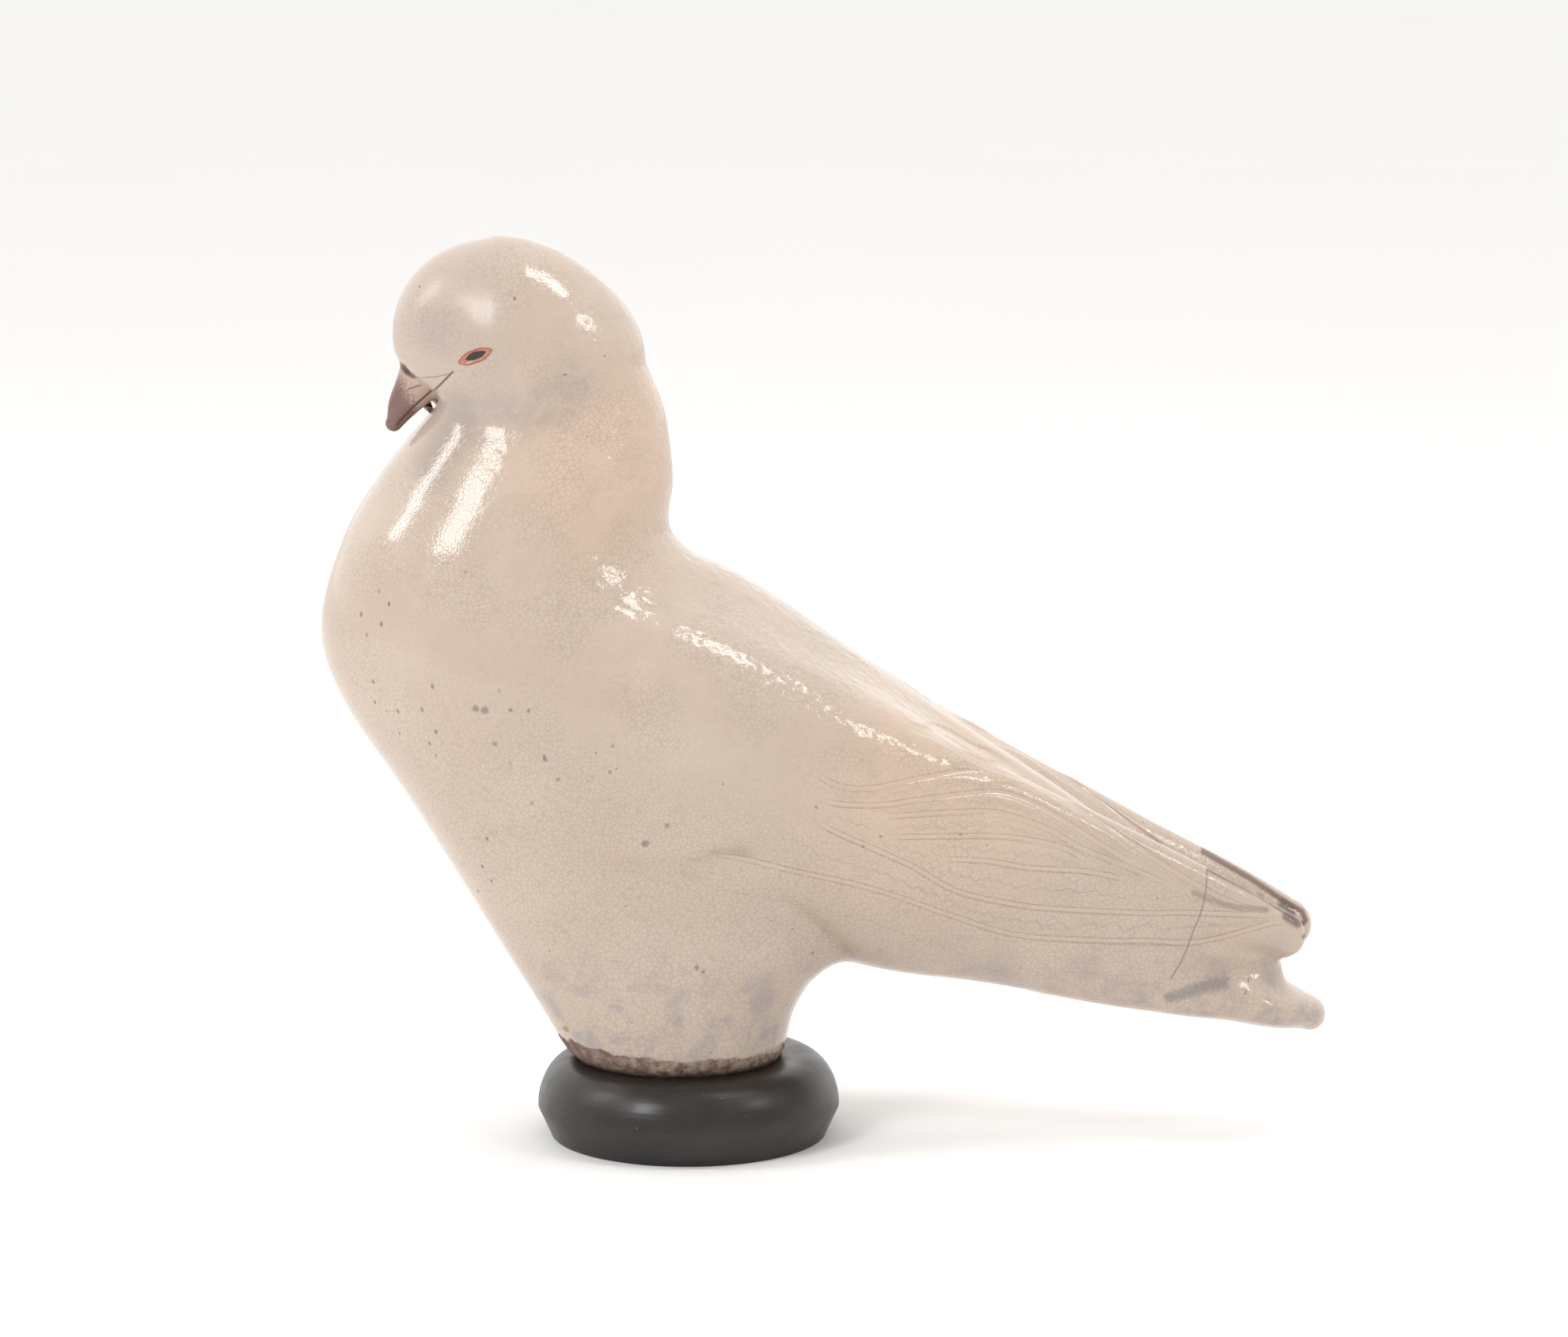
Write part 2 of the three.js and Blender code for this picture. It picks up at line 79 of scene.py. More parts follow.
# The other lofts: centre x, y, z of each section, then its half height and half width
BODY_ROWS = [
    (-50, 0, 160, 52, 46), (-10, 0, 137.5, 59.5, 50), (40, 0, 115, 50, 45), (80, 0, 96.5, 43, 35),
    (113, 0, 84, 35, 27), (152, 0, 67.5, 25, 18), (185, 0, 56, 14, 12),
]
WING_ROWS = [
    (-50, 25, 152, 38, 25), (-12, 28.5, 144, 41, 27), (25, 29.5, 131, 38, 26), (62, 26, 117, 33, 22),
    (103, 19, 102, 27, 15.5), (144, 13.5, 88, 20, 10.5), (176, 10.5, 77.8, 13.2, 7.5), (197.5, 8.5, 70, 8.6, 5),
]
TAIL_ROWS = [
    (125, 0, 66, 17, 10), (165, 0, 53.5, 13, 16), (185, 0, 48.5, 10, 20), (198, 0, 44.2, 7.8, 18),
    (208.3, 0, 41.2, 5.6, 10),
]
HEAD_REAR_ROWS = [(-51.5, 0, 268, 29.5, 29), (-53, 0, 268.5, 30, 29)]
HEAD_FRONT_ROWS = [(-64.5, 0, 271.5, 32, 24), (-67, 0, 271.5, 31, 23.5)]
CHEEK_ROWS = [(-52, 0, 258, 21, 28), (-62, 0, 259, 18, 26)]
BEAK_ROWS = [
    (-83, 0, 262, 10.5, 9.5), (-88, 0, 257.2, 8.6, 7.2), (-91.7, 0, 252.4, 6.6, 5.2),
    (-95.7, 0, 246.7, 4.7, 3.4), (-98, 0, 241.8, 2.8, 2.1),
]
UPWARD = (0, 1)
FORWARD = (-1, 0)
ALONG_BACK = (0.911, -0.411)
ALONG_BEAK = (-0.604, -0.797)
WING_LEAN = math.radians(18)
FAR_WING_REACH = 3.5
FACE_CUT_TOP = (-97, 261.5)
FACE_CUT_CHIN = (-76, 248)

# Feather grooves seen from the side, as x and z
FEATHER_EDGES = [
    [(40, 136), (47, 131), (54, 129), (62, 129), (75, 131), (91, 132), (99, 129)],
    [(41, 127), (49, 124), (62, 123), (75, 124), (93, 125), (104, 124), (117, 118), (138, 104), (149, 97)],
    [(62, 119), (73, 119), (86, 119), (101, 118), (117, 112), (130, 104), (147, 96), (160, 90)],
    [(64, 112), (80, 111), (99, 110), (112, 108), (125, 104), (133, 98)],
    [(83, 103), (99, 101), (112, 98), (131, 96), (147, 92)],
    [(41, 121), (45, 116), (60, 108), (73, 101), (86, 92), (96, 88), (112, 84), (128, 82), (152, 80), (165, 80), (196, 78)],
    [(3, 107), (21, 103), (34, 100), (60, 93), (86, 82), (107, 74), (134, 71), (152, 70), (171, 69), (192, 75), (201, 76)],
    [(70, 148), (83, 142), (96, 134), (112, 127), (125, 119), (139, 110), (152, 101), (165, 92), (181, 83), (197, 78)],
]


def catmull_rom(rows, steps):
    """Points along a smooth curve through the rows."""
    rows = np.array(rows, float)
    padded = np.vstack([2 * rows[0] - rows[1], rows, 2 * rows[-1] - rows[-2]])
    t = (np.arange(steps) / steps)[:, None]
    points = []
    for a, b, c, d in zip(padded, padded[1:], padded[2:], padded[3:]):
        linear = (c - a) * t
        square = (2 * a - 5 * b + 4 * c - d) * t ** 2
        cube = (3 * b - a - 3 * c + d) * t ** 3
        points.append((2 * b + linear + square + cube) / 2)
    return np.vstack(points + [rows[-1:]])


def make_loft(rows, axis, lean=0.0):
    points = catmull_rom(rows, 10)
    axis = np.array(axis, float) / np.hypot(*axis)
    places = points[:, 0] * axis[0] + points[:, 2] * axis[1]
    return {"points": points, "places": places, "axis": axis, "cos": math.cos(lean), "sin": math.sin(lean)}


def loft_distance(loft, x, y, z):
    """Distance to a loft's skin, negative inside."""
    ax, az = loft["axis"]
    place = x * ax + z * az
    nearest = np.clip(place, loft["places"][0], loft["places"][-1])
    cx, cy, cz, high, wide = (np.interp(nearest, loft["places"], column) for column in loft["points"].T)
    along = place - nearest
    up = (z - cz) * ax - (x - cx) * az
    side = y - cy
    across = up * loft["cos"] + side * loft["sin"]
    sideways = side * loft["cos"] - up * loft["sin"]
    in_plane = along ** 2 + across ** 2
    scaled = np.sqrt(in_plane / high ** 2 + sideways ** 2 / wide ** 2)
    slope = np.sqrt(in_plane / high ** 4 + sideways ** 2 / wide ** 4)
    return scaled * (scaled - 1) / np.maximum(slope, 1e-9)


def join(a, b, softness):
    overlap = np.maximum(softness - np.abs(a - b), 0) / softness
    return np.minimum(a, b) - overlap ** 2 * softness / 4


def trim(a, b, softness):
    return -join(-a, -b, softness)


def smoothstep(value, low, high):
    t = np.clip((value - low) / (high - low), 0, 1)
    return t * t * (3 - 2 * t)


trunk_rows = [((front + rear) / 2, 0, height, (rear - front) / 2, half) for height, front, rear, half in TRUNK_LEVELS]
LOFTS = {
    "trunk": make_loft(trunk_rows, UPWARD),
    "body": make_loft(BODY_ROWS, ALONG_BACK),
    "wing": make_loft(WING_ROWS, ALONG_BACK, WING_LEAN),
    "tail": make_loft(TAIL_ROWS, ALONG_BACK),
    "head_rear": make_loft(HEAD_REAR_ROWS, FORWARD),
    "head_front": make_loft(HEAD_FRONT_ROWS, FORWARD),
    "cheek": make_loft(CHEEK_ROWS, FORWARD),
    "beak": make_loft(BEAK_ROWS, ALONG_BEAK),
}


def head_distance(x, y, z):
    skull = join(loft_distance(LOFTS["head_rear"], x, y, z), loft_distance(LOFTS["head_front"], x, y, z), 12)
    face = join(skull, loft_distance(LOFTS["cheek"], x, y, z), 8)
    run = FACE_CUT_CHIN[0] - FACE_CUT_TOP[0]
    drop = FACE_CUT_CHIN[1] - FACE_CUT_TOP[1]
    cut = ((x - FACE_CUT_TOP[0]) * drop - (z - FACE_CUT_TOP[1]) * run) / math.hypot(run, drop)
    return trim(face, cut, 5)


def dove_distance(p):
    """Distance to the smooth bird at each row of p, in millimetres."""
    x, y, z = p.T
    reach = np.where(y > 0, FAR_WING_REACH * smoothstep(x, 150, 200), 0)
    wing = loft_distance(LOFTS["wing"], x - reach, np.abs(y), z)
    wing_round = 16 - 12 * smoothstep(x, 60, 130)
    winged = join(loft_distance(LOFTS["body"], x, y, z), wing, wing_round)
    dove = join(loft_distance(LOFTS["trunk"], x, y, z), winged, 8)
    dove = join(dove, loft_distance(LOFTS["tail"], x, y, z), 5)
    dove = join(dove, head_distance(x, y, z), 9)
    return join(dove, loft_distance(LOFTS["beak"], x, y, z), 2)


def slope_at(p, distance):
    reach = 0.15
    slope = np.empty_like(p)
    for axis in range(3):
        moved = p.copy()
        moved[:, axis] += reach
        slope[:, axis] = (dove_distance(moved) - distance) / reach
    return slope


def settle(p, times):
    """Moves points along the slope of the distance until they lie on the skin."""
    for _ in range(times):
        distance = dove_distance(p)
        slope = slope_at(p, distance)
        move = -distance[:, None] * slope / np.maximum((slope ** 2).sum(1), 0.05)[:, None]
        length = np.linalg.norm(move, axis=1, keepdims=True)
        p = p + move * np.minimum(1, 2 / np.maximum(length, 1e-9))
    return p


def near_skin_grid(low, high, step, coarse=4):
    """Inside flags on a fine grid, worked out exactly only in the coarse cells near the skin."""
    counts = [int(math.ceil((b - a) / (step * coarse))) for a, b in zip(low, high)]
    places = [a + step * np.arange(n * coarse) for a, n in zip(low, counts)]
    middle = [line.reshape(-1, coarse).mean(1) for line in places]
    cells = np.stack(np.meshgrid(*middle, indexing="ij"), -1).reshape(-1, 3)
    distance = dove_distance(cells)
    inside = np.repeat(np.repeat(np.repeat((distance < 0).reshape(counts), coarse, 0), coarse, 1), coarse, 2)
    near = np.argwhere((np.abs(distance) < 1.8 * step * coarse).reshape(counts))
    offsets = np.argwhere(np.ones((coarse, coarse, coarse), bool))
    fine = (near[:, None, :] * coarse + offsets[None]).reshape(-1, 3)
    points = np.array(low, float) + step * fine
    flags = np.concatenate([dove_distance(chunk) < 0 for chunk in np.array_split(points, 8)])
    inside[tuple(fine.T)] = flags
    return inside


def surface_net(low, high, step):
    """Closed triangle net over the skin, one corner in each grid cell that the skin crosses."""
    inside = near_skin_grid(low, high, step)
    sizes = np.array(inside.shape)
    filled = np.zeros(sizes - 1, int)
    for dx, dy, dz in np.argwhere(np.ones((2, 2, 2), bool)):
        filled += inside[dx:dx + sizes[0] - 1, dy:dy + sizes[1] - 1, dz:dz + sizes[2] - 1]
    crossed = (filled > 0) & (filled < 8)
    index = np.full(crossed.shape, -1)
    index[crossed] = np.arange(crossed.sum())
    corners = np.array(low, float) + step * (np.argwhere(crossed) + 0.5)
    quads = []
    for axis in range(3):
        b, c = (axis + 1) % 3, (axis + 2) % 3
        first = np.moveaxis(inside, axis, 0)[:-1]
        second = np.moveaxis(inside, axis, 0)[1:]
        change = np.argwhere(np.moveaxis(first != second, 0, axis))
        change = change[(change[:, b] > 0) & (change[:, c] > 0)]
        leaving = inside[tuple(change.T)]
        ring = []
        for shift_b, shift_c in ((0, 0), (1, 0), (1, 1), (0, 1)):
            cell = change.copy()
            cell[:, b] -= shift_b
            cell[:, c] -= shift_c
            ring.append(index[tuple(cell.T)])
        quad = np.stack(ring, 1)
        quad[~leaving] = quad[~leaving][:, ::-1]
        quads.append(quad)
    quads = np.vstack(quads)
    return corners, np.vstack([quads[:, [0, 1, 2]], quads[:, [0, 2, 3]]])


def even_out(p, triangles, passes, amount):
    """Slides each corner over the skin toward the middle of its neighbours."""
    edges = np.vstack([triangles[:, [0, 1]], triangles[:, [1, 2]], triangles[:, [2, 0]]])
    counts = np.bincount(edges[:, 0], minlength=len(p))
    for _ in range(passes):
        middle = np.stack([np.bincount(edges[:, 0], p[edges[:, 1], k], len(p)) for k in range(3)], 1)
        slide = (middle / counts[:, None] - p) * amount
        facing = corner_facings(p, triangles)
        slide -= facing * (slide * facing).sum(1, keepdims=True)
        p = settle(p + slide, 1)
    return p


def corner_facings(p, triangles):
    a, b, c = (p[triangles[:, k]] for k in range(3))
    facing = np.cross(b - a, c - a)
    total = np.stack([sum(np.bincount(triangles[:, k], facing[:, axis], len(p)) for k in range(3))
                      for axis in range(3)], 1)
    return total / np.maximum(np.linalg.norm(total, axis=1, keepdims=True), 1e-12)


def split_long_edges(p, triangles, wanted):
    """Splits each edge that is too long for its place, and the triangles beside it to match."""
    edges = np.vstack([triangles[:, [0, 1]], triangles[:, [1, 2]], triangles[:, [2, 0]]])
    pairs, inverse = np.unique(np.sort(edges, 1), axis=0, return_inverse=True)
    inverse = inverse.reshape(-1)
    middles = (p[pairs[:, 0]] + p[pairs[:, 1]]) / 2
    length = np.linalg.norm(p[pairs[:, 0]] - p[pairs[:, 1]], axis=1)
    long = length > 1.4 * wanted(middles)
    new_index = np.full(len(pairs), -1)
    new_index[long] = len(p) + np.arange(long.sum())
    p = np.vstack([p, middles[long]])
    ab, bc, ca = new_index[inverse].reshape(3, -1)
    a, b, c = triangles.T
    pieces = []
    for turn in range(3):
        split = [ab >= 0, bc >= 0, ca >= 0]
        only_first = split[0] & ~split[1] & ~split[2]
        pieces += [np.stack(s, 1)[only_first] for s in ((a, ab, c), (ab, b, c))]
        first_two = split[0] & split[1] & ~split[2]
        pieces += [np.stack(s, 1)[first_two] for s in ((ab, b, bc), (a, ab, bc), (a, bc, c))]
        if turn == 0:
            none = ~split[0] & ~split[1] & ~split[2]
            every = split[0] & split[1] & split[2]
            pieces.append(triangles[none])
            pieces += [np.stack(s, 1)[every] for s in ((a, ab, ca), (ab, b, bc), (ca, bc, c), (ab, bc, ca))]
        a, b, c = b, c, a
        ab, bc, ca = bc, ca, ab
    return p, np.vstack(pieces)


def line_distance(controls, x, z):
    """Signed distance to a smooth line in the side view, and how far in from its nearer end that is."""
    points = catmull_rom([(a, b) for a, b in controls], 4)
    best = np.full(len(x), 1e9)
    signed = np.full(len(x), 1e9)
    from_end = np.zeros(len(x))
    run = 0.0
    total = np.linalg.norm(np.diff(points, axis=0), axis=1).sum()
    for a, b in zip(points, points[1:]):
        step = b - a
        length = math.hypot(*step)
        t = np.clip(((x - a[0]) * step[0] + (z - a[1]) * step[1]) / length ** 2, 0, 1)
        distance = np.hypot(x - a[0] - t * step[0], z - a[1] - t * step[1])
        side = np.sign(step[0] * (z - a[1]) - step[1] * (x - a[0]))
        place = run + t * length
        closer = distance < best
        best = np.where(closer, distance, best)
        signed = np.where(closer, distance * side, signed)
        from_end = np.where(closer, np.minimum(place, total - place), from_end)
        run += length
    return signed, from_end


def feather_distance(p):
    """Signed distance to the nearest feather groove, and how strong that groove is there."""
    x, y, z = p.T
    best = np.full(len(x), 12.0)
    strength = np.zeros(len(x))
    for line in FEATHER_EDGES:
        distance, from_end = line_distance(line, x, z)
        closer = np.abs(distance) < np.abs(best)
        best = np.where(closer, distance, best)
        strength = np.where(closer, smoothstep(from_end, 0, 9), strength)
    return best, strength * smoothstep(np.abs(y), 5, 9)


WING_EDGE = [(-73, 127), (-62, 117), (-49, 111), (-33, 107), (-18, 105), (-5, 105), (13, 110), (26, 114), (40, 121)]
MOUTH_LINE = [(-77, 261.2), (-83, 254.5), (-91, 247), (-97, 241)]
LORE_HOLLOW = (-80, 21, 275)
NOSTRIL_HOLLOW = (-93, 6.5, 261)


def wanted_edge(p):
    """Wanted edge length at each point, in millimetres."""
    x, y, z = p.T
    size = np.full(len(p), 2.3)
    face = (x < -56) & (z > 236) & (z < 282)
    size[face] = 1.1
    beak = (x < -74) & (z > 238) & (z < 266) & (np.abs(y) < 17)
    size[beak] = 0.7
    wing = (x > 30) & (z > 60) & (z < 150) & (size > 1)
    distance, strength = feather_distance(p[wing])
    size[wing] = np.where((np.abs(distance) < 1.9) & (strength > 0), 0.75, 2.3)
    foot = (z < 42) & (z > 20)
    size[foot] = np.minimum(size[foot], 1.6)
    return size


def dove_mesh():
    step = 2.5
    p, triangles = surface_net((-134, -72, 14), (226, 72, 318), step)
    p = settle(p, 3)
    p = even_out(p, triangles, 3, 0.5)
    for _ in range(2):
        p, triangles = split_long_edges(p, triangles, wanted_edge)
        p = even_out(p, triangles, 1, 0.4)
    p = settle(p, 2)
    return p, triangles


def hollow(p, centre, radius):
    """1 at a place that is the same on both sides of the bird, fading out over radius."""
    x, y, z = p.T
    away = (x - centre[0]) ** 2 + (np.abs(y) - centre[1]) ** 2 + (z - centre[2]) ** 2
    return np.exp(-away / radius ** 2)


def press_relief(p, facing):
    """Moves the corners along their facings: grooves and hollows in, the wing's front edge out."""
    x, y, z = p.T
    distance, strength = feather_distance(p)
    height = -0.35 * strength * (1 - smoothstep(np.abs(distance), 0.5, 1.2))
    height -= 0.3 * strength * np.exp(-(distance / 3.2) ** 2)
    edge, from_end = line_distance(WING_EDGE, x, z)
    shown = smoothstep(from_end, 0, 22) * smoothstep(np.abs(y), 16, 26)
    height += shown * (0.9 * np.exp(-((edge - 1) / 4.5) ** 2) - 1.0 * np.exp(-((edge + 7) / 5.5) ** 2))
    height -= 1.3 * hollow(p, LORE_HOLLOW, 7)
    height -= 1.6 * hollow(p, NOSTRIL_HOLLOW, 2.0)
    mouth, from_end = line_distance(MOUTH_LINE, x, z)
    height -= 0.4 * np.exp(-(mouth / 0.55) ** 2) * smoothstep(from_end, 0, 3) * smoothstep(-x, 74, 77)
    return p + facing * height[:, None]


def mesh_object(name, p, faces, smooth=True):
    mesh = bpy.data.meshes.new(name)
    mesh.from_pydata((np.asarray(p) * MM).tolist(), [], np.asarray(faces).tolist() if len(faces) else [])
    mesh.validate()
    mesh.polygons.foreach_set("use_smooth", [smooth] * len(mesh.polygons))
    mesh.update()
    piece = bpy.data.objects.new(name, mesh)
    bpy.context.scene.collection.objects.link(piece)
    return piece


def set_attribute(piece, name, values):
    attribute = piece.data.attributes.new(name, "FLOAT", "POINT")
    attribute.data.foreach_set("value", np.asarray(values, np.float32))


class Shader:
    """Builds a node material from small expressions."""

    def __init__(self, name):
        self.material = bpy.data.materials.new(name)
        self.material.use_nodes = True
        self.tree = self.material.node_tree
        self.principled = self.tree.nodes["Principled BSDF"]

    def node(self, kind, **settings):
        node = self.tree.nodes.new(kind)
        for key, value in settings.items():
            setattr(node, key, value)
        return node

    def feed(self, socket, value):
        if isinstance(value, bpy.types.NodeSocket):
            self.tree.links.new(value, socket)
        elif isinstance(value, (tuple, list)):
            whole = tuple(value)
            socket.default_value = whole + (1.0,) if len(whole) < len(socket.default_value) else whole
        else:
            socket.default_value = value

    def math(self, operation, a, b=0.0, clamp=False):
        node = self.node("ShaderNodeMath", operation=operation, use_clamp=clamp)
        self.feed(node.inputs[0], a)
        self.feed(node.inputs[1], b)
        return node.outputs[0]

    def vector(self, operation, a, b=(0, 0, 0), scale=None):
        node = self.node("ShaderNodeVectorMath", operation=operation)
        self.feed(node.inputs[0], a)
        self.feed(node.inputs[1], b)
        if scale is not None:
            self.feed(node.inputs["Scale"], scale)
        return node.outputs["Value" if operation in ("LENGTH", "DOT_PRODUCT", "DISTANCE") else "Vector"]

    def add(self, a, b):
        return self.math("ADD", a, b)

    def sub(self, a, b):
        return self.math("SUBTRACT", a, b)

    def mul(self, a, b):
        return self.math("MULTIPLY", a, b)

    def most(self, *values):
        result = values[0]
        for value in values[1:]:
            result = self.math("MAXIMUM", result, value)
        return result

    def ramp(self, value, low, high, start=0.0, end=1.0, smooth=True):
        """Goes from start at low to end at high."""
        node = self.node("ShaderNodeMapRange", interpolation_type="SMOOTHSTEP" if smooth else "LINEAR")
        for socket, number in zip(node.inputs, (value, low, high, start, end)):
            self.feed(socket, number)
        return node.outputs[0]

    def mix(self, amount, a, b, kind="MIX"):
        node = self.node("ShaderNodeMix", data_type="RGBA", blend_type=kind)
        self.feed(node.inputs[0], amount)
        self.feed(node.inputs[6], a)
        self.feed(node.inputs[7], b)
        return node.outputs[2]

    def noise(self, place, size, detail=2.0, roughness=0.5, distortion=0.0):
        """Value noise with lumps about size millimetres across."""
        node = self.node("ShaderNodeTexNoise")
        self.feed(node.inputs["Vector"], place)
        self.feed(node.inputs["Scale"], 1 / size)
        self.feed(node.inputs["Detail"], detail)
        self.feed(node.inputs["Roughness"], roughness)
        self.feed(node.inputs["Distortion"], distortion)
        return node.outputs["Fac"]

    def cells(self, place, size, feature="F1", output="Distance", randomness=1.0):
        node = self.node("ShaderNodeTexVoronoi", feature=feature)
        self.feed(node.inputs["Vector"], place)
        self.feed(node.inputs["Scale"], 1 / size)
        self.feed(node.inputs["Randomness"], randomness)
        return node.outputs[output]

    def attribute(self, name):
        return self.node("ShaderNodeAttribute", attribute_name=name).outputs["Fac"]

    def places(self):
        """Place on the object in millimetres: the vector, then x, y and z."""
        coordinates = self.node("ShaderNodeTexCoord").outputs["Object"]
        place = self.vector("SCALE", coordinates, scale=1000.0)
        split = self.node("ShaderNodeSeparateXYZ")
        self.feed(split.inputs[0], place)
        return place, split.outputs[0], split.outputs[1], split.outputs[2]

    def flat(self, x, z):
        """The side view as a vector."""
        node = self.node("ShaderNodeCombineXYZ")
        self.feed(node.inputs[0], x)
        self.feed(node.inputs[2], z)
        return node.outputs[0]

    def stroke(self, flat, points):
        """Distance to a line through points, each x and z, in the side view."""
        nearest = None
        for (ax, az), (bx, bz) in zip(points, points[1:]):
            away = self.vector("SUBTRACT", flat, (ax, 0, az))
            run = (bx - ax, 0, bz - az)
            square = run[0] ** 2 + run[2] ** 2
            share = self.mul(self.vector("DOT_PRODUCT", away, run), 1 / square)
            share = self.ramp(share, 0, 1, smooth=False)
            offset = self.vector("SUBTRACT", away, self.vector("SCALE", run, scale=share))
            distance = self.vector("LENGTH", offset)
            nearest = distance if nearest is None else self.math("MINIMUM", nearest, distance)
        return nearest

    def blob(self, place, centre, radius, soft=0.5):
        """1 inside a ball round centre, fading to 0 at radius."""
        return self.ramp(self.vector("DISTANCE", place, centre), radius * (1 - soft), radius, 1, 0)

    def bump(self, height, distance, normal=None, strength=1.0):
        """Normal of a relief whose height goes from 0 to 1 over distance millimetres."""
        node = self.node("ShaderNodeBump")
        self.feed(node.inputs["Strength"], strength)
        self.feed(node.inputs["Distance"], distance * MM)
        self.feed(node.inputs["Height"], height)
        if normal is not None:
            self.feed(node.inputs["Normal"], normal)
        return node.outputs[0]


def glaze_material():
    s = Shader("dove_glaze")
    place, x, y, z = s.places()
    flat = s.flat(x, z)
    near_side = s.ramp(y, -4, 0, 1, 0)
    beak = s.attribute("beak")

    # Body of the glaze: cream, greyer below than on the nape and coverts, where the peach is partly the glaze's own
    # tone and partly painted warm light from the top light; painted grey shade on the lower face
    cream = (0.52, 0.415, 0.335)
    colour = s.mix(s.ramp(s.noise(place, 34, 3), 0.35, 0.65), cream, (0.545, 0.44, 0.36))
    # Peach on the nape and coverts: partly the glaze's own tone, partly painted warm light where the top and right
    # lights fall
    peach_tone_and_top_light = s.most(s.ramp(s.vector("DISTANCE", flat, (-20, 0, 232)), 14, 52, 1, 0),
                  s.ramp(s.vector("DISTANCE", flat, (84, 0, 128)), 14, 60, 1, 0))
    colour = s.mix(s.mul(peach_tone_and_top_light, 0.8), colour, (0.60, 0.455, 0.345))
    # Painted grey shade on the lower face below the eye
    face = s.mul(s.ramp(x, -50, -66), s.ramp(z, 238, 256))
    colour = s.mix(s.mul(face, 0.6), colour, (0.46, 0.375, 0.325))
    colour = s.mix(s.ramp(s.noise(place, 9, 3), 0.4, 0.75, 0, 0.35), colour, (0.49, 0.385, 0.31))

    # Crackle
    bent = s.vector("ADD", place, s.vector("SCALE", s.node_vector_noise(place, 3.0), scale=0.6))
    edge = s.cells(bent, 1.75, "DISTANCE_TO_EDGE")
    crack_lines = s.ramp(edge, 0.035, 0.13, 1, 0)
    patch = s.ramp(s.noise(place, 26, 2), 0.40, 0.60)
    low = s.ramp(s.sub(z, s.mul(x, -0.35)), 150, 110)
    crack_share = s.add(0.10, s.mul(s.most(patch, low), 0.26))
    colour = s.mix(s.mul(crack_lines, crack_share), colour, (0.33, 0.27, 0.235))

    # Grey stains above the foot; painted shadow on the throat under the chin, painted shade behind the cheek and
    # painted shade in the hollow in front of each eye
    stain = s.mul(s.ramp(z, 40, 82, 1, 0), s.ramp(s.noise(place, 12, 5, 0.65), 0.43, 0.68))
    colour = s.mix(s.mul(stain, 0.75), colour, (0.31, 0.275, 0.28))
    # Painted shadow that the head casts on the throat below the chin
    throat_painted_shadow = s.ramp(s.stroke(flat, THROAT_SHADE), 1.5, 11, 1, 0)
    colour = s.mix(s.mul(throat_painted_shadow, 0.5), colour, (0.28, 0.235, 0.215))
    # Painted shade under and behind the cheek, broken up by noise
    cheek = s.ramp(s.stroke(flat, CHEEK_SHADE), 2, 13, 1, 0)
    colour = s.mix(s.mul(cheek, s.ramp(s.noise(place, 5, 3), 0.3, 0.7, 0.15, 0.5)), colour, (0.33, 0.28, 0.265))
    # Painted shade in the hollow in front of each eye
    lore_painted_shade = s.ramp(s.vector("DISTANCE", flat, (-81, 0, 275)), 1, 10, 1, 0)
    colour = s.mix(s.mul(lore_painted_shade, 0.3), colour, (0.36, 0.32, 0.32))

    # Dark specks where soot and ash fell on the breast, and single marks
    speck_cells = s.cells(s.vector("MULTIPLY", bent, (1, 1, 0.62)), 3.1, "F1", "Color")
    chosen = s.ramp(speck_cells, 0.70, 0.74)
    zone = s.most(*(s.ramp(s.vector("DISTANCE", flat, (sx, 0, sz)), reach * 0.3, reach, 1, 0)
                    for sx, sz, reach in SPECK_ZONES))
    speck = s.mul(s.ramp(s.cells(s.vector("MULTIPLY", bent, (1, 1, 0.62)), 3.1), 0.10, 0.26, 1, 0), chosen)
    speck = s.mul(speck, s.ramp(s.add(zone, s.noise(place, 7, 2)), 0.75, 1.1))
    colour = s.mix(s.mul(speck, 0.75), colour, (0.13, 0.115, 0.12))
    pin = s.ramp(s.cells(place, 9.5), 0.028, 0.05, 1, 0)
    colour = s.mix(s.mul(pin, 0.65), colour, (0.16, 0.11, 0.08))
    for (sx, sz), reach, strength in MARKS:
        mark = s.ramp(s.vector("DISTANCE", s.vector("ADD", flat, s.vector("SCALE", s.node_vector_noise(place, 1.5), scale=1.2)),
                               (sx, 0, sz)), reach * 0.4, reach, 1, 0)
        colour = s.mix(s.mul(s.mul(mark, near_side), strength), colour, (0.12, 0.10, 0.10))

    # Bare clay round the foot, and painted shadow where it meets the plinth
    rim = s.add(s.ramp(x, -40, 34, 36.2, 31.6, smooth=False), s.ramp(s.noise(place, 5, 4), 0, 1, -2.4, 2.4))
    bare = s.ramp(s.sub(z, rim), -0.5, 0.5, 1, 0)
    clay = s.mix(s.ramp(s.noise(place, 3.2, 5, 0.7), 0.35, 0.7), (0.15, 0.095, 0.07), (0.40, 0.31, 0.255))
    clay = s.mix(s.ramp(x, -36, -6, 0.45, 0), clay, (0.14, 0.085, 0.065))
    colour = s.mix(bare, colour, clay)
    # Painted shadow darkening the bottom 2.5 mm where the foot meets the plinth
    colour = s.mix(s.mul(s.ramp(z, 27, 29.5, 1, 0), 0.6), colour, (0.05, 0.035, 0.03))

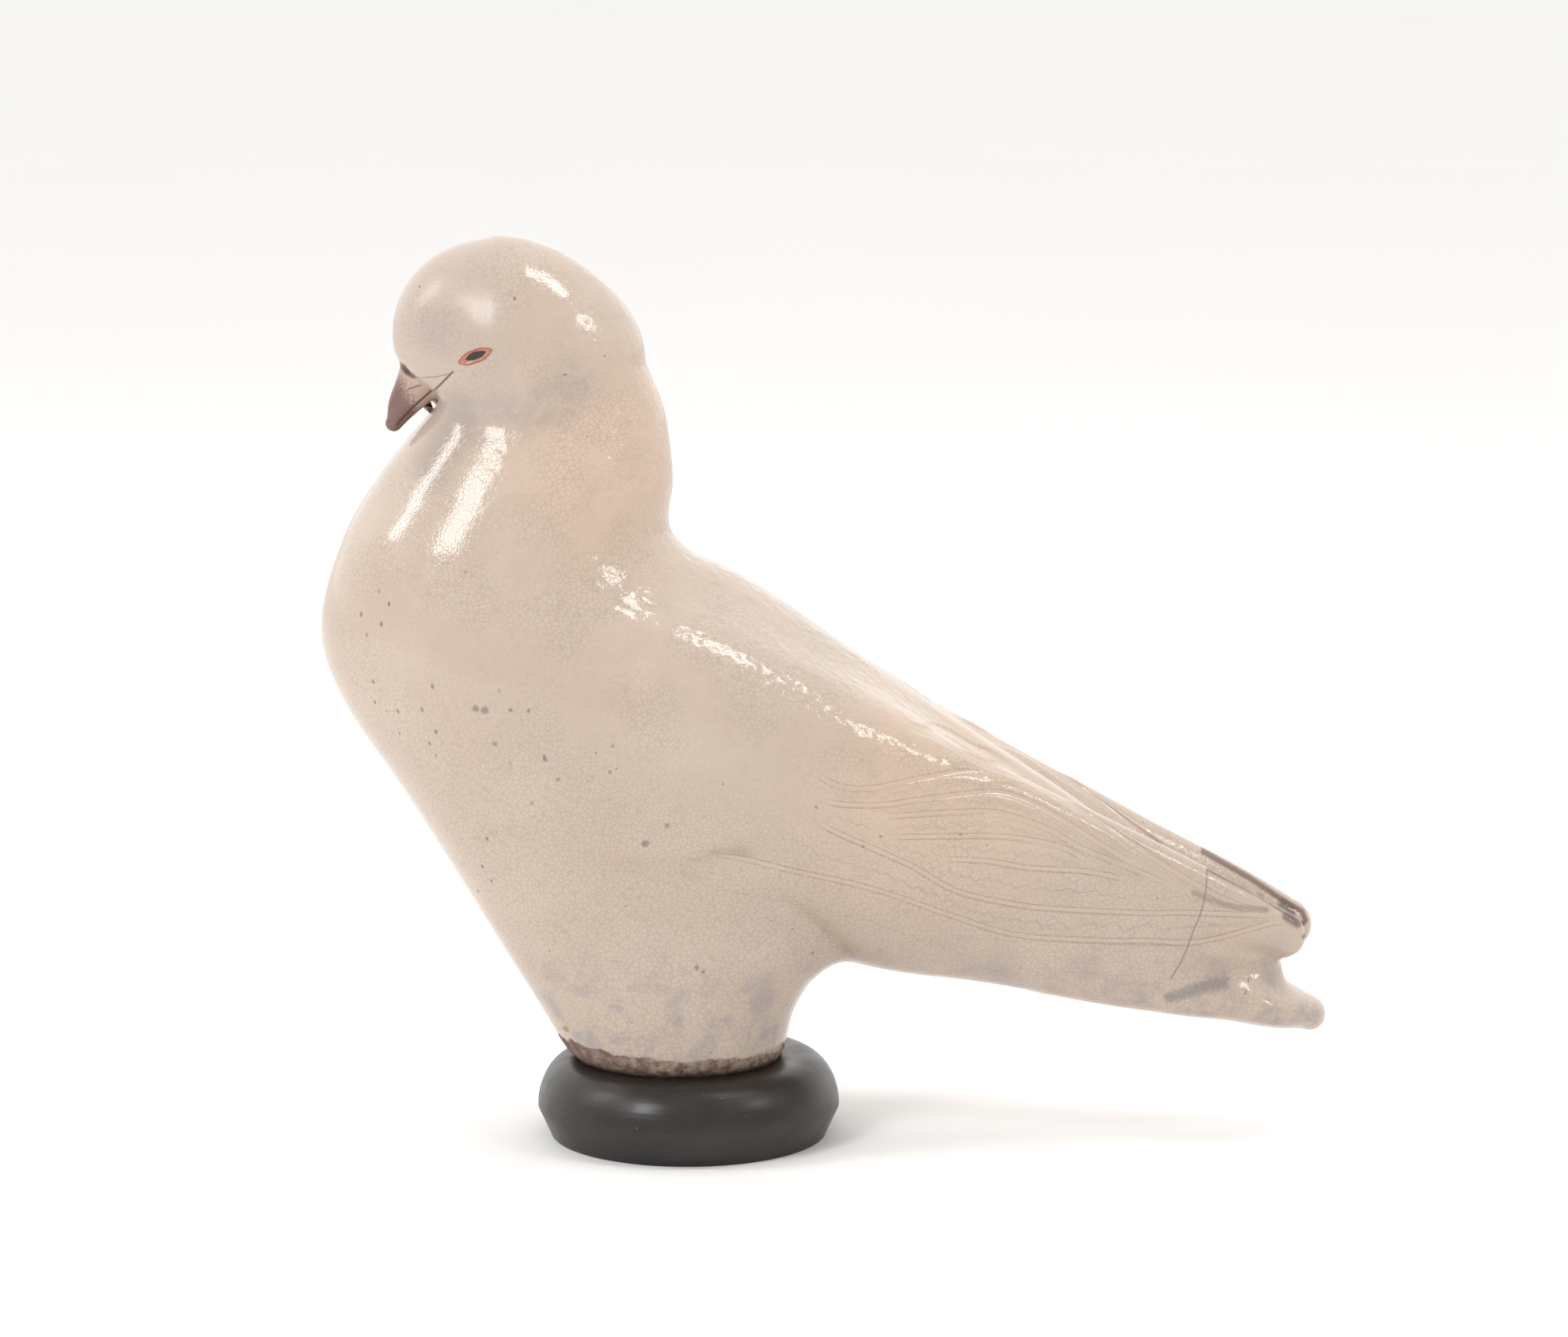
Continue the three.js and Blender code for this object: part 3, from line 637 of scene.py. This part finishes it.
    # Feather grooves: two fine dotted brown lines at the edges of each channel
    vein = s.math("ABSOLUTE", s.attribute("feather"))
    strength = s.attribute("feather_strength")
    dots = s.ramp(s.noise(place, 0.9, 1), 0.42, 0.6, 0.3, 1)
    lines = s.ramp(s.math("ABSOLUTE", s.sub(vein, 1.0)), 0.06, 0.3, 1, 0)
    colour = s.mix(s.mul(s.mul(s.mul(lines, strength), dots), 0.5), colour, (0.34, 0.20, 0.135))
    channel = s.mul(s.ramp(vein, 0.4, 1.3, 1, 0), strength)
    colour = s.mix(s.mul(channel, 0.22), colour, (0.62, 0.51, 0.42))

    # Dark between the wing tips and along the far wing's rim, partly pooled glaze and partly painted shade in the gap
    # between the wings; glaze pooled along the near feather edges there, and smudged under the tail
    # Partly pooled glaze, partly painted shade in the groove between the wings
    pooled_glaze_and_gap_shade = s.ramp(s.stroke(flat, FAR_RIM_POOL_AND_SHADE), 0.35, 1.3, 1, 0)
    colour = s.mix(s.mul(pooled_glaze_and_gap_shade, 0.8), colour, (0.13, 0.075, 0.055))
    colour = s.mix(s.mul(s.ramp(s.stroke(flat, POOLED_NEAR), 0.3, 1.6, 1, 0), 0.5), colour, (0.22, 0.16, 0.14))
    # Partly pooled glaze, partly painted shade in the gap between the wing tips
    wedge = s.ramp(s.stroke(flat, TIP_WEDGE), 0.6, 2.4, 1, 0)
    colour = s.mix(s.mul(wedge, 0.75), colour, (0.13, 0.085, 0.075))
    smudge = s.ramp(s.add(s.stroke(flat, TAIL_SMUDGE), s.ramp(s.noise(place, 1.6, 4, 0.7), 0, 1, -1.6, 1.6)), 0.6, 3.4, 1, 0)
    colour = s.mix(s.mul(smudge, 0.6), colour, (0.17, 0.155, 0.165))
    for path, width in ((WING_CRACK, 0.26), (TAIL_CRACK, 0.2)):
        fine = s.ramp(s.stroke(flat, path), 0.1, width + 0.12, 1, 0)
        colour = s.mix(s.mul(s.mul(fine, near_side), 0.62), colour, (0.14, 0.115, 0.115))
    drop = s.ramp(s.vector("DISTANCE", flat, (-40.6, 0, 40.6)), 0.9, 1.3, 1, 0)
    colour = s.mix(s.mul(drop, near_side), colour, (0.36, 0.20, 0.06))

    # Painted eye on both sides of the head
    lean = math.radians(23.5)
    dx, dz = s.sub(x, EYE_CENTRE[0]), s.sub(z, EYE_CENTRE[1])
    u = s.add(s.mul(dx, math.cos(lean)), s.mul(dz, math.sin(lean)))
    v = s.sub(s.mul(dz, math.cos(lean)), s.mul(dx, math.sin(lean)))
    v = s.add(v, s.ramp(s.noise(place, 2.5, 2), 0, 1, -0.22, 0.22))

    def almond(u, v, half_length, half_width, bluntness):
        along = s.math("POWER", s.math("ABSOLUTE", s.mul(u, 1 / half_length)), bluntness)
        return s.add(along, s.math("ABSOLUTE", s.mul(v, 1 / half_width)))

    on_head = s.ramp(z, 250, 254)
    ring_value = almond(u, v, 6.4, 2.15, 3.2)
    ring = s.mul(s.ramp(ring_value, 0.93, 1.06, 1, 0), on_head)
    brick = s.mix(s.ramp(s.noise(place, 1.2, 2), 0.35, 0.65), (0.40, 0.15, 0.10), (0.46, 0.20, 0.145))
    brick = s.mix(s.ramp(ring_value, 0.70, 0.92, 0, 0.75), brick, (0.24, 0.06, 0.035))
    under = s.mul(s.ramp(s.math("ABSOLUTE", s.add(v, 1.05)), 0.10, 0.34, 1, 0),
                  s.ramp(s.math("ABSOLUTE", s.add(u, 0.9)), 2.3, 3.3, 1, 0))
    brick = s.mix(s.mul(under, 0.8), brick, (0.52, 0.41, 0.38))
    pupil = s.ramp(almond(s.sub(u, 0.25), s.sub(v, 0.2), 3.9, 1.32, 2.0), 0.9, 1.06, 1, 0)
    brick = s.mix(pupil, brick, (0.042, 0.029, 0.021))
    colour = s.mix(ring, colour, brick)

    # Beak: horn pink at the base, speckled brown toward the tip
    along = s.add(s.mul(s.sub(x, -84.5), ALONG_BEAK[0]), s.mul(s.sub(z, 260), ALONG_BEAK[1]))
    front = s.add(s.mul(s.sub(x, -92), -0.797), s.mul(s.sub(z, 252), 0.604))
    grain = s.ramp(s.noise(place, 0.8, 4, 0.75), 0, 1, -5, 5)
    brown = s.ramp(s.add(s.add(along, s.mul(front, 0.55)), grain), 7.5, 13.5)
    horn = s.mix(brown, (0.47, 0.345, 0.285), (0.19, 0.11, 0.095))
    colour = s.mix(beak, colour, horn)
    mouth = s.stroke(flat, MOUTH_LINE_SHOWN)
    colour = s.mix(s.mul(s.ramp(mouth, 0.2, 0.48, 1, 0), 0.9), colour, (0.10, 0.055, 0.045))
    slit = s.stroke(flat, NOSTRIL_SLIT)
    colour = s.mix(s.mul(s.ramp(slit, 0.2, 0.5, 1, 0), s.mul(beak, 0.8)), colour, (0.20, 0.11, 0.075))
    cere = s.stroke(flat, CERE_LINE)
    colour = s.mix(s.mul(s.ramp(cere, 0.12, 0.4, 1, 0), 0.6), colour, (0.27, 0.15, 0.115))
    pocket = s.ramp(s.stroke(flat, NOSTRIL_POCKET), 0.5, 1.6, 1, 0)
    colour = s.mix(s.mul(pocket, s.ramp(x, -84, -88)), colour, (0.09, 0.055, 0.042))

    # Relief of the glaze: dimples on nape, shoulders and coverts, smooth on the face
    nape = s.mul(s.ramp(s.add(x, s.mul(s.sub(z, 200), -0.25)), -78, -52), s.ramp(z, 150, 185))
    coverts = s.ramp(s.stroke(flat, SHOULDER_LINE), 12, 40, 1, 0)
    dimpled = s.mul(s.most(s.mul(nape, 0.7), coverts), s.ramp(x, 66, 104, 1, 0))
    wobbly = s.vector("ADD", place, s.vector("SCALE", s.node_vector_noise(place, 4.0), scale=2.2))
    pits = s.cells(wobbly, 3.3, "SMOOTH_F1")
    coarse = s.noise(place, 5.5, 1)
    normal = s.bump(s.add(s.mul(pits, 1.0), s.mul(coarse, 0.9)), 0.34, strength=s.add(0.10, s.mul(dimpled, 0.9)))
    normal = s.bump(s.noise(place, 1.4, 3, 0.6), 0.045, normal, s.add(0.35, s.mul(dimpled, 0.65)))
    normal = s.bump(s.ramp(edge, 0.0, 0.14), 0.012, normal)
    normal = s.bump(s.mul(s.ramp(vein, 0.62, 1.12, 1, 0), strength), -0.16, normal)

    s.feed(s.principled.inputs["Base Color"], colour)
    satin = s.most(s.mul(face, 0.22), s.mul(beak, 0.18))
    s.feed(s.principled.inputs["Roughness"], s.mix_value(bare, s.add(0.06, satin), 0.75))
    s.feed(s.principled.inputs["Specular IOR Level"], s.mix_value(bare, 0.5, 0.2))
    s.feed(s.principled.inputs["Normal"], normal)
    s.principled.inputs["IOR"].default_value = 1.5
    return s.material


def mix_value(self, amount, a, b):
    return self.ramp(amount, 0, 1, a, b, False)


def node_vector_noise(self, place, size):
    node = self.node("ShaderNodeTexNoise")
    self.feed(node.inputs["Vector"], place)
    self.feed(node.inputs["Scale"], 1 / size)
    return self.vector("SUBTRACT", node.outputs["Color"], (0.5, 0.5, 0.5))


Shader.mix_value = mix_value
Shader.node_vector_noise = node_vector_noise

MOUTH_LINE_SHOWN = [(-76, 262), (-82.4, 255), (-90, 248), (-96, 241.5)]
NOSTRIL_SLIT = [(-91.5, 254), (-88, 255.2), (-84.2, 256.6)]
NOSTRIL_POCKET = [(-94.5, 262), (-92.3, 259.8), (-90, 258.6)]
CERE_LINE = [(-90.8, 259.4), (-88, 258.7), (-81, 260), (-76.2, 261.6)]
WING_CRACK = [(173, 94), (172.6, 88), (171, 80), (169, 74), (167, 67), (164, 61), (161.5, 57)]
TAIL_CRACK = [(187.8, 56.2), (186.2, 52)]
FAR_RIM_POOL_AND_SHADE = [(173.7, 94.3), (189.7, 85.4), (201.6, 77.7), (207, 74.5), (208.3, 71.6), (206.3, 70)]
POOLED_NEAR = [(168.4, 87.2), (178.3, 82.7), (186.4, 80.9), (193, 79.9)]
TIP_WEDGE = [(200.2, 77.5), (204, 75)]
TAIL_SMUDGE = [(161.3, 49.8), (167, 52.3), (173.6, 54.6), (178.9, 55.3)]
THROAT_SHADE = [(-75, 248.5), (-77, 242), (-80, 235.5), (-83, 231)]
CHEEK_SHADE = [(-66, 246), (-56, 247.5), (-44, 252), (-37, 259)]
SHOULDER_LINE = [(-25, 196), (9, 179), (35, 166), (68, 147)]
EYE_CENTRE = (-68.4, 267.6)
SPECK_ZONES = [(-96, 168, 34), (-70, 148, 26), (-74, 100, 22), (-40, 134, 26), (-100, 150, 24)]
MARKS = [
    ((-68, 155.5), 1.6, 0.6), ((-65, 155), 1.8, 0.6), ((-56.6, 155.4), 0.9, 0.7), ((-50.7, 155.3), 0.9, 0.6),
    ((-62, 143.6), 1.3, 0.5), ((-45.2, 138.7), 1.0, 0.5), ((-41.4, 132), 1.0, 0.5), ((-24.5, 135), 0.9, 0.5),
    ((-5.9, 116.6), 1.3, 0.5), ((-13.2, 110), 1.7, 0.6), ((58, 108.7), 0.8, 0.6), ((63.9, 112.2), 0.7, 0.6),
    ((42.7, 123.2), 0.8, 0.5), ((90.3, 111.1), 0.9, 0.7), ((3.4, 66), 1.2, 0.6), ((5.4, 64.6), 1.0, 0.6),
    ((41.8, 67.4), 0.8, 0.6), ((-55.5, 286.4), 0.7, 0.7), ((-39.1, 261.9), 0.7, 0.7), ((-87.3, 288.6), 0.6, 0.6),
]


def plinth_material():
    s = Shader("plinth_paint")
    place, x, y, z = s.places()
    radius = s.vector("LENGTH", s.flat(x, y))
    colour = s.mix(s.ramp(s.noise(place, 20, 3), 0.35, 0.7), (0.014, 0.0115, 0.010), (0.022, 0.018, 0.0155))
    dust = s.ramp(s.noise(place, 1.2, 2), 0.72, 0.78)
    colour = s.mix(s.mul(dust, 0.35), colour, (0.35, 0.32, 0.29))
    rings = s.node("ShaderNodeTexNoise")
    circle = s.node("ShaderNodeCombineXYZ")
    s.feed(circle.inputs[0], radius)
    s.feed(circle.inputs[2], z)
    s.feed(rings.inputs["Vector"], circle.outputs[0])
    s.feed(rings.inputs["Scale"], 1 / 0.9)
    s.feed(rings.inputs["Detail"], 2.0)
    normal = s.bump(rings.outputs["Fac"], 0.05)
    s.feed(s.principled.inputs["Base Color"], colour)
    s.feed(s.principled.inputs["Roughness"], s.ramp(s.noise(place, 8, 3), 0.3, 0.7, 0.30, 0.40))
    s.feed(s.principled.inputs["Normal"], normal)
    return s.material


def turned_plinth():
    """The turned stand as a finer lathe than its solid."""
    sides, steps = 160, 22
    outline = [(0, 0), (44.8, 0), (45.9, 0), (46.45, 0.25), (46.6, 0.7)]
    for k in range(steps + 1):
        angle = math.pi / 2 * k / steps
        outline.append((38.5 + 12.35 * math.cos(angle), 10 + 17 * math.sin(angle)))
    outline.append((36, 27))
    outline.append((0, 27))
    points, faces = [], []
    for radius, height in outline:
        count = 1 if radius == 0 else sides
        points += [(radius * math.cos(2 * math.pi * i / sides), radius * math.sin(2 * math.pi * i / sides), height)
                   for i in range(count)]
    start = 0
    for (r0, _), (r1, _) in zip(outline, outline[1:]):
        n0, n1 = (1 if r0 == 0 else sides), (1 if r1 == 0 else sides)
        for i in range(sides):
            j = (i + 1) % sides
            if n0 == 1:
                faces.append((start, start + n0 + j, start + n0 + i))
            elif n1 == 1:
                faces.append((start + i, start + j, start + n0))
            else:
                faces.append((start + i, start + j, start + n0 + j, start + n0 + i))
        start += n0
    mesh = bpy.data.meshes.new("turned_plinth")
    mesh.from_pydata([(a * MM, b * MM, c * MM) for a, b, c in points], [], faces)
    mesh.polygons.foreach_set("use_smooth", [True] * len(mesh.polygons))
    mesh.update()
    piece = bpy.data.objects.new("turned_plinth", mesh)
    bpy.context.scene.collection.objects.link(piece)
    return piece


points, triangles = dove_mesh()
facing = corner_facings(points, triangles)
feather, feather_strength = feather_distance(points)
beak_distance = loft_distance(LOFTS["beak"], *points.T)
beak_here = smoothstep(head_distance(*points.T) - beak_distance, -0.5, 0.6) * smoothstep(-beak_distance, -3, -1.5)
carved = press_relief(points, facing)
keep = np.column_stack([feather, feather_strength, beak_here])
below = carved[:, 2] < FOOT_PLANE
triangles = triangles[~below[triangles].all(1)]
used = np.unique(triangles)
index = np.full(len(carved), -1)
index[used] = np.arange(len(used))
carved = carved[used]
carved[:, 2] = np.maximum(carved[:, 2], FOOT_PLANE)
keep = keep[used]
triangles = index[triangles]
carved[:, 0] += DOVE_OFFSET_X
box_low, box_high = (np.array(corner) / MM for corner in cad_box)
carved = np.clip(carved, box_low, box_high)
dove = mesh_object("dove_glazed", carved, triangles)
for column, name in enumerate(("feather", "feather_strength", "beak")):
    set_attribute(dove, name, keep[:, column])
dove.data.materials.append(glaze_material())
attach(dove, "root")
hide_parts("dove")

plinth = turned_plinth()
plinth.data.materials.append(plinth_material())
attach(plinth, "root")
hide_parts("plinth")


def floor():
    mesh = bpy.data.meshes.new("floor")
    mesh.from_pydata([(-30, -30, 0), (30, -30, 0), (30, 30, 0), (-30, 30, 0)], [], [(0, 1, 2, 3)])
    piece = bpy.data.objects.new("floor", mesh)
    bpy.context.scene.collection.objects.link(piece)
    s = Shader("floor_white")
    place, x, y, z = s.places()
    s.feed(s.principled.inputs["Base Color"], s.mix(s.noise(place, 300, 2), (0.93, 0.925, 0.92), (0.95, 0.945, 0.94)))
    s.principled.inputs["Roughness"].default_value = 0.9
    mesh.materials.append(s.material)


def area_light(name, azimuth, elevation, distance, width, height, power, colour=(1, 1, 1)):
    """A softbox that faces the bird. Azimuth 0 is at the camera's side, 90 to its right."""
    light = bpy.data.lights.new(name, "AREA")
    light.shape = "RECTANGLE"
    light.size, light.size_y = width, height
    light.energy = power
    light.color = colour
    lamp = bpy.data.objects.new(name, light)
    az, el = math.radians(azimuth), math.radians(elevation)
    toward = (math.sin(az) * math.cos(el), -math.cos(az) * math.cos(el), math.sin(el))
    lamp.location = [t * distance + o for t, o in zip(toward, (0.0, 0, 0.17))]
    lamp.rotation_euler = (math.radians(90 - elevation), 0, az)
    bpy.context.scene.collection.objects.link(lamp)


def world():
    """White surroundings, brighter behind the bird than on the camera's side."""
    scene_world = bpy.data.worlds.new("studio")
    scene_world.use_nodes = True
    tree = scene_world.node_tree
    direction = tree.nodes.new("ShaderNodeTexCoord")
    split = tree.nodes.new("ShaderNodeSeparateXYZ")
    strength = tree.nodes.new("ShaderNodeMapRange")
    strength.interpolation_type = "SMOOTHSTEP"
    for socket, number in zip(strength.inputs[1:5], (-0.5, 0.7, 0.62, 1.4)):
        socket.default_value = number
    background = tree.nodes["Background"]
    background.inputs["Color"].default_value = (1.0, 0.99, 0.975, 1)
    tree.links.new(direction.outputs["Generated"], split.inputs[0])
    tree.links.new(split.outputs[1], strength.inputs[0])
    tree.links.new(strength.outputs[0], background.inputs["Strength"])
    bpy.context.scene.world = scene_world


def camera():
    data = bpy.data.cameras.new("camera")
    data.sensor_fit = "HORIZONTAL"
    data.sensor_width = 36
    data.lens = 135.62
    data.clip_end = 100
    body = bpy.data.objects.new("camera", data)
    body.location = (0.03222, -1.93799, 0.51836)
    body.rotation_euler = (math.radians(90 - 10.5), 0, 0)
    bpy.context.scene.collection.objects.link(body)
    bpy.context.scene.camera = body


floor()
world()
camera()
area_light("left_softbox", -40, 33, 1.6, 0.42, 0.60, 8.0)
area_light("far_left_softbox", -84, 34, 1.6, 0.22, 0.60, 4.2)
area_light("top_softbox", 76, 66, 1.6, 0.34, 0.60, 6.5)
area_light("right_softbox", 64, 34, 1.6, 0.26, 0.34, 2.8)
bpy.context.scene.view_settings.view_transform = "Standard"
